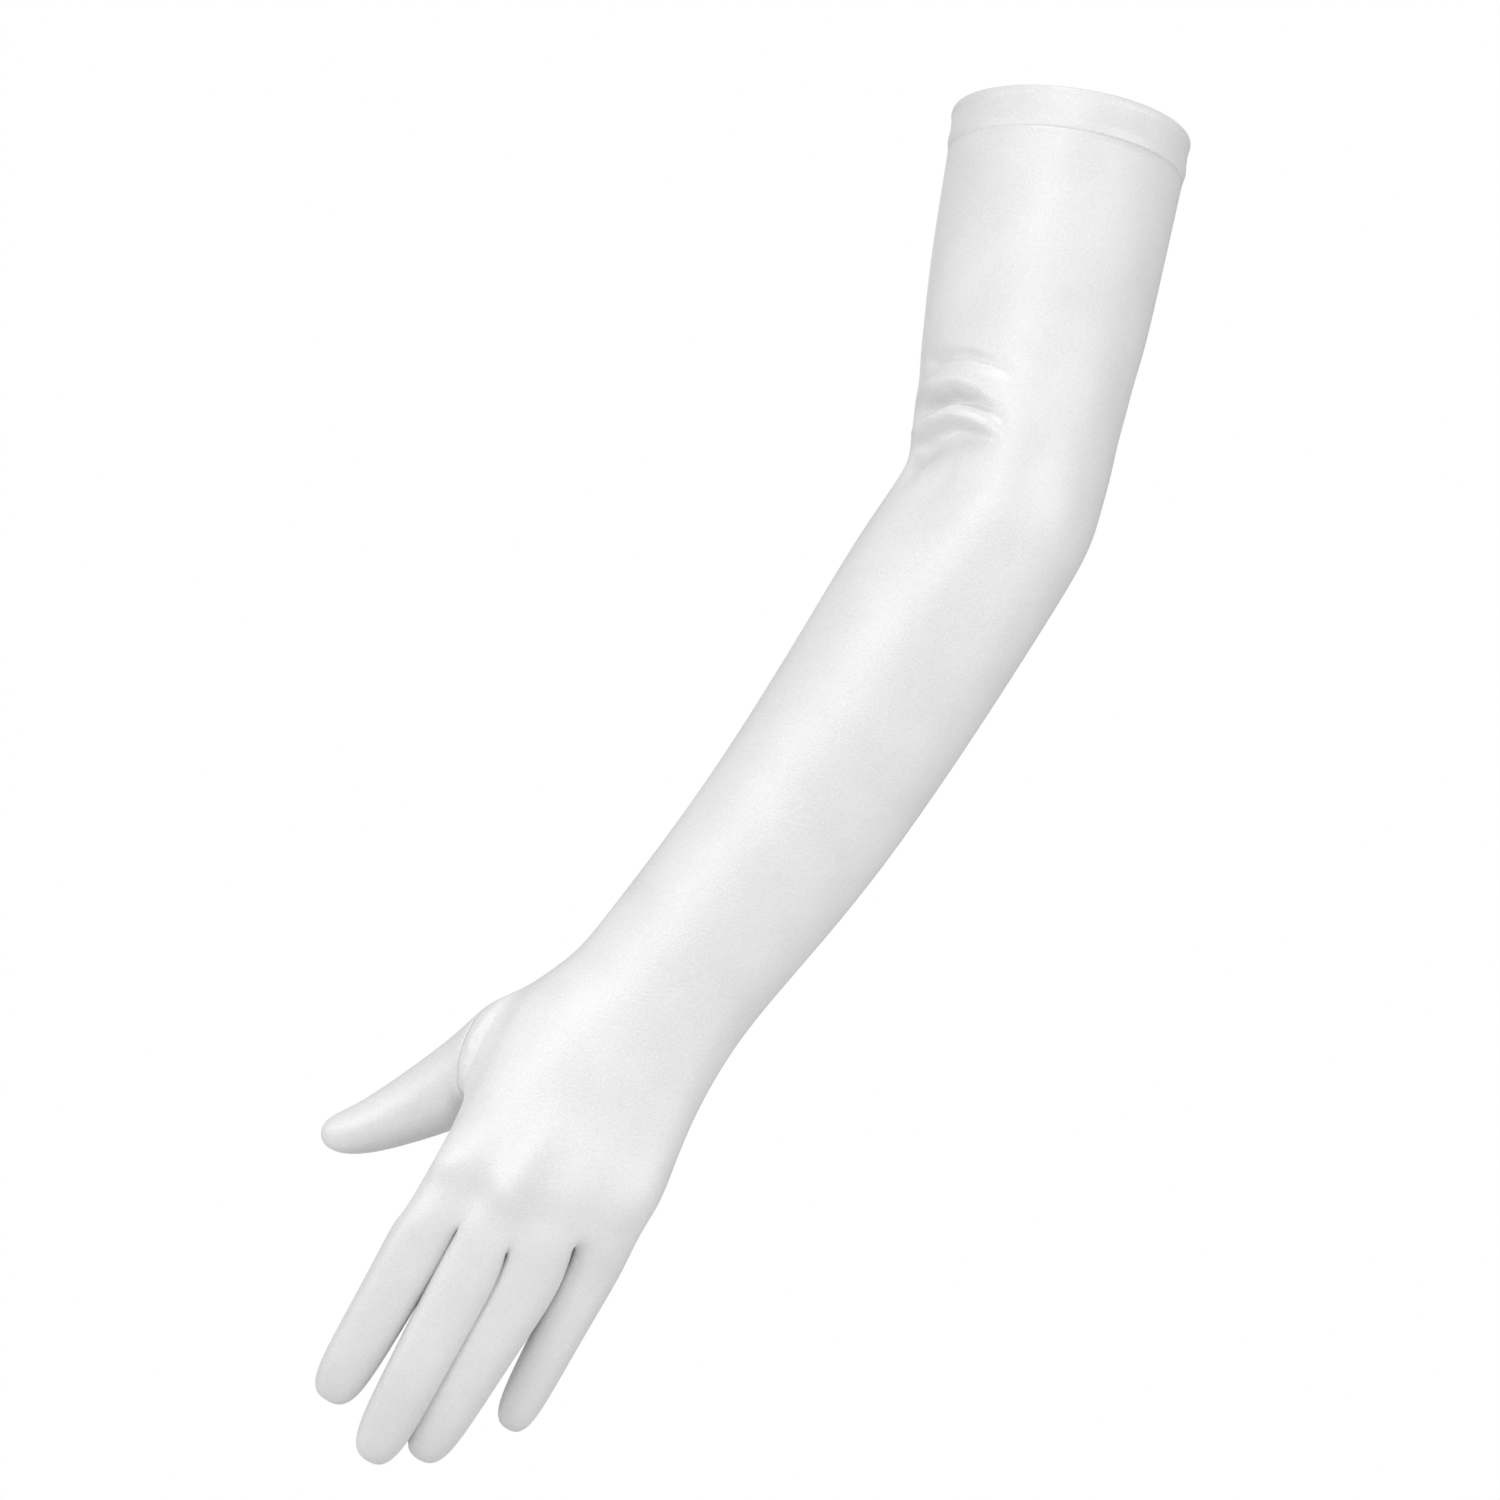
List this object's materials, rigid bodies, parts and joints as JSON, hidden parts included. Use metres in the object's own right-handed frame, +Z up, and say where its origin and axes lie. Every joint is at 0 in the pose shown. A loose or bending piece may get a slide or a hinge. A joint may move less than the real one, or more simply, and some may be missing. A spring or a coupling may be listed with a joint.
{
  "type": "satin evening glove",
  "caption": "Long satin glove for the left hand in worn form: open sleeve bent at the elbow, fitted hand with finger stalls, set-in thumb and a turned hem at the top.",
  "frame": {"origin": "the centre of the arm opening, in the middle of the hem's top rim", "axes": "+Z is up, along the upper arm; the back of the hand faces -Y, and the thumb and the fingers lie towards -X, where the bent forearm leads"},
  "size_m": [0.3112, 0.137, 0.4887],
  "materials": {
    "body_satin": "white stretch satin with a soft sheen",
    "thumb_satin": "white stretch satin with a soft sheen",
    "hem_satin": "white stretch satin, turned under and stitched"
  },
  "bodies": {
    "root": {"glove_body": "body_satin", "thumb": "thumb_satin", "cuff_hem": "hem_satin"}
  },
  "joints": []
}
